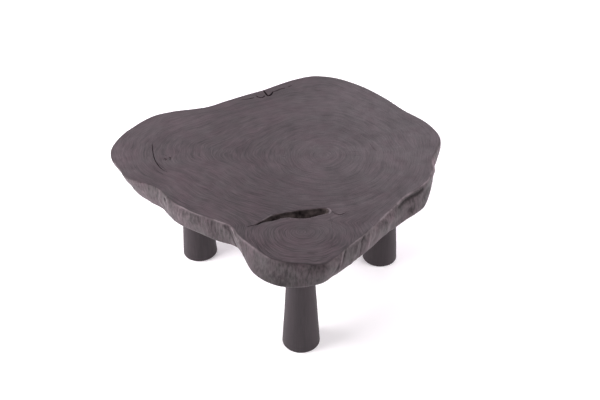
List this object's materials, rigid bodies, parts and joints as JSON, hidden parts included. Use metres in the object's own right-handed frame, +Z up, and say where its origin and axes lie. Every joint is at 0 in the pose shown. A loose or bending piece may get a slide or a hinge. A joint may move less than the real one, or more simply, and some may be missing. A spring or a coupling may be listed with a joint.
{
  "type": "live edge coffee table",
  "caption": "Low table: a black-stained cross-cut trunk slab with its live edge and cracks, on turned legs that widen towards the floor.",
  "frame": {"origin": "on the floor, under the middle of the slab's bounding box", "axes": "+Z up; +X along the slab's length, towards its right lobe; +Y towards its back lobe, away from the open crack"},
  "size_m": [1.015, 0.995, 0.39],
  "materials": {
    "slab_wood": "black stain, satin oil",
    "leg_wood": "black stain, matt",
    "felt": "pressed felt",
    "zinc_steel": "zinc plated"
  },
  "bodies": {
    "root": {"slab": "slab_wood", "leg_front": "leg_wood", "leg_left": "leg_wood", "leg_right": "leg_wood", "leg_back": "leg_wood", "felt_pad_front": "felt", "felt_pad_left": "felt", "felt_pad_right": "felt", "felt_pad_back": "felt", "hanger_bolt_front": "zinc_steel", "hanger_bolt_left": "zinc_steel", "hanger_bolt_right": "zinc_steel", "hanger_bolt_back": "zinc_steel", "mounting_plate_front": "zinc_steel", "mounting_plate_left": "zinc_steel", "mounting_plate_right": "zinc_steel", "mounting_plate_back": "zinc_steel", "plate_nut_front": "zinc_steel", "plate_nut_left": "zinc_steel", "plate_nut_right": "zinc_steel", "plate_nut_back": "zinc_steel", "plate_screws_front": "zinc_steel", "plate_screws_left": "zinc_steel", "plate_screws_right": "zinc_steel", "plate_screws_back": "zinc_steel"}
  },
  "joints": []
}
